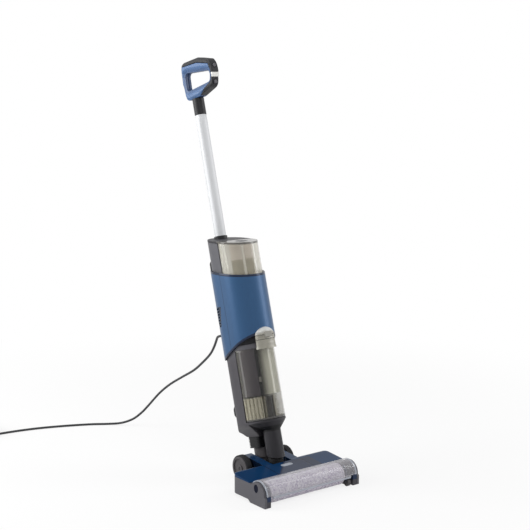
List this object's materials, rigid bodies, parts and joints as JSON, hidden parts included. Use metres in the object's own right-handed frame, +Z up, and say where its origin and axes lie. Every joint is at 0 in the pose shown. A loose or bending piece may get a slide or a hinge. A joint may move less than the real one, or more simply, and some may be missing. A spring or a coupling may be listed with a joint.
{
  "type": "wet dry floor scrubber",
  "caption": "Corded upright wet and dry floor washer: a wheeled floor head with a driven roller, clean and dirty water tanks on a leaning body, a tube and a loop handle.",
  "frame": {"origin": "centre of the machine's footprint box on the floor, cord left out", "axes": "+Z up, +X to the right as seen from the front, the roller faces -Y"},
  "size_m": [0.6743, 1.0946, 1.0698],
  "materials": {
    "deck_navy": "high gloss, dark navy blue",
    "shell_blue": "satin metallic blue",
    "body_grey": "fine satin, mid grey",
    "trim_dark": "fine satin, dark grey",
    "trim_black": "satin black",
    "tank_smoke": "clear, smoke tinted",
    "clear_plastic": "clear, colourless",
    "fleece": "short dense microfibre pile",
    "rubber_black": "matt black rubber",
    "tyre_rubber": "matt black rubber tread",
    "tube_aluminium": "fine brushed, anodised",
    "motor_steel": "brushed",
    "pulley_brass": "turned",
    "band_white": "satin white",
    "circuit_board": "green solder mask",
    "cord_black": "matt black flexible jacket"
  },
  "bodies": {
    "floor_head": {"head_cover": "deck_navy", "chassis": "trim_dark", "side_plate_left": "body_grey", "side_plate_right": "body_grey", "brush_motor": "motor_steel", "drive_belt": "rubber_black", "wiper_blade": "rubber_black", "spray_bar": "clear_plastic", "suction_duct": "trim_black", "duct_hose": "rubber_black", "recline_pin": "motor_steel", "cord": "cord_black", "cord_coil": "cord_black", "plug": "cord_black"},
    "release_button": {"brush_release_button": "deck_navy"},
    "window": {"brush_window": "clear_plastic"},
    "brush_roll": {"brush_core": "trim_dark", "brush_sleeve": "fleece", "brush_bearing_cap": "trim_black", "brush_pulley": "trim_dark"},
    "drive_pinion": {"motor_pulley": "pulley_brass"},
    "left_wheel": {"wheel_left": "body_grey", "tyre_left": "tyre_rubber"},
    "right_wheel": {"wheel_right": "body_grey", "tyre_right": "tyre_rubber"},
    "front_roller": {"foot_wheel": "rubber_black"},
    "steering_yoke": {"neck_yoke": "body_grey"},
    "upright_body": {"spine": "body_grey", "swivel_knuckle": "trim_black", "spine_cap": "trim_dark", "front_shell": "shell_blue", "rear_shell": "shell_blue", "suction_motor": "motor_steel", "control_board": "circuit_board", "water_pump": "trim_black", "water_hose": "clear_plastic", "wand_tube": "tube_aluminium", "tube_collar": "trim_black", "cord_hook_lower": "trim_black", "cord_gland": "cord_black", "handle_cover": "trim_black", "handle_left": "shell_blue", "handle_right": "shell_blue", "handle_band": "band_white", "handle_neck": "trim_black"},
    "fan": {"impeller": "tube_aluminium"},
    "upper_hook": {"cord_hook_upper": "trim_black"},
    "power_key": {"power_button": "body_grey"},
    "mode_key": {"mode_button": "body_grey"},
    "clean_water_tank": {"clean_tank": "tank_smoke", "clean_tank_lid": "tank_smoke"},
    "filler_plug": {"filler_cap": "trim_dark"},
    "outlet_valve": {"clean_tank_valve": "rubber_black"},
    "dirty_water_tank": {"dirty_tank": "tank_smoke", "inlet_pipe": "trim_dark", "tank_filter": "trim_dark", "dirty_tank_lid": "trim_dark", "tank_handle": "clear_plastic"},
    "tank_float": {"float": "band_white"},
    "release_latch": {"tank_latch": "trim_dark"}
  },
  "joints": [
    {"name": "recline", "type": "hinge", "parent": "floor_head", "child": "steering_yoke", "pos_m": [0, -0.08597, 0.042], "axis": [-1, 0, 0], "range_deg": [0, 44], "deforming": ["cord"]},
    {"name": "steer", "type": "hinge", "parent": "steering_yoke", "child": "upright_body", "pos_m": [0, -0.06771, 0.08881], "axis": [0, 0.2689, 0.9632], "range_deg": [-25, 25], "deforming": ["cord"]},
    {"name": "left_wheel_spin", "type": "hinge", "parent": "floor_head", "child": "left_wheel", "pos_m": [-0.068, -0.07397, 0.034], "axis": [1, 0, 0], "continuous": true},
    {"name": "right_wheel_spin", "type": "hinge", "parent": "floor_head", "child": "right_wheel", "pos_m": [0.068, -0.07397, 0.034], "axis": [1, 0, 0], "continuous": true},
    {"name": "front_roller_spin", "type": "hinge", "parent": "floor_head", "child": "front_roller", "pos_m": [0.119, -0.26557, 0.0095], "axis": [1, 0, 0], "continuous": true},
    {"name": "brush_spin", "type": "hinge", "parent": "floor_head", "child": "brush_roll", "pos_m": [0, -0.24197, 0.0284], "axis": [1, 0, 0], "continuous": true},
    {"name": "pinion_spin", "type": "hinge", "parent": "floor_head", "child": "drive_pinion", "pos_m": [0.12, -0.16797, 0.03], "axis": [1, 0, 0], "continuous": true},
    {"name": "window_lift", "type": "slide", "parent": "floor_head", "child": "window", "axis": [0, 0, 1], "range_m": [0, 0.03]},
    {"name": "brush_release_press", "type": "slide", "parent": "floor_head", "child": "release_button", "axis": [1, 0, 0], "range_m": [0, 0.002], "stiffness_N_per_m": 400},
    {"name": "fan_spin", "type": "hinge", "parent": "upright_body", "child": "fan", "pos_m": [0, 0.01004, 0.43049], "axis": [0, 0.2689, 0.9632], "continuous": true},
    {"name": "upper_hook_turn", "type": "hinge", "parent": "upright_body", "child": "upper_hook", "pos_m": [0, 0.1328, 0.52807], "axis": [0, 0.9632, -0.2689], "range_deg": [0, 180]},
    {"name": "power_press", "type": "slide", "parent": "upright_body", "child": "power_key", "axis": [0, 0.9632, -0.2689], "range_m": [0, 0.0015], "stiffness_N_per_m": 500},
    {"name": "mode_press", "type": "slide", "parent": "upright_body", "child": "mode_key", "axis": [0, 0.9632, -0.2689], "range_m": [0, 0.0015], "stiffness_N_per_m": 500},
    {"name": "clean_tank_lift", "type": "slide", "parent": "upright_body", "child": "clean_water_tank", "axis": [0, 0.2689, 0.9632], "range_m": [0, 0.09]},
    {"name": "filler_cap_turn", "type": "hinge", "parent": "clean_water_tank", "child": "filler_plug", "pos_m": [0, 0.02094, 0.60341], "axis": [0, 0.0367, 0.9993], "range_deg": [0, 90]},
    {"name": "outlet_valve_push", "type": "slide", "parent": "clean_water_tank", "child": "outlet_valve", "axis": [0, 0.2689, 0.9632], "range_m": [0, 0.003], "stiffness_N_per_m": 300},
    {"name": "dirty_tank_pull", "type": "slide", "parent": "upright_body", "child": "dirty_water_tank", "axis": [0, -0.9632, 0.2689], "range_m": [0, 0.08]},
    {"name": "float_rise", "type": "slide", "parent": "dirty_water_tank", "child": "tank_float", "axis": [0, 0.2689, 0.9632], "range_m": [0, 0.045]},
    {"name": "latch_press", "type": "slide", "parent": "dirty_water_tank", "child": "release_latch", "axis": [0, 0.9632, -0.2689], "range_m": [0, 0.002], "stiffness_N_per_m": 600}
  ],
  "couplings": [
    {"joint": "pinion_spin", "follows": "brush_spin", "ratio": 1.6349}
  ]
}
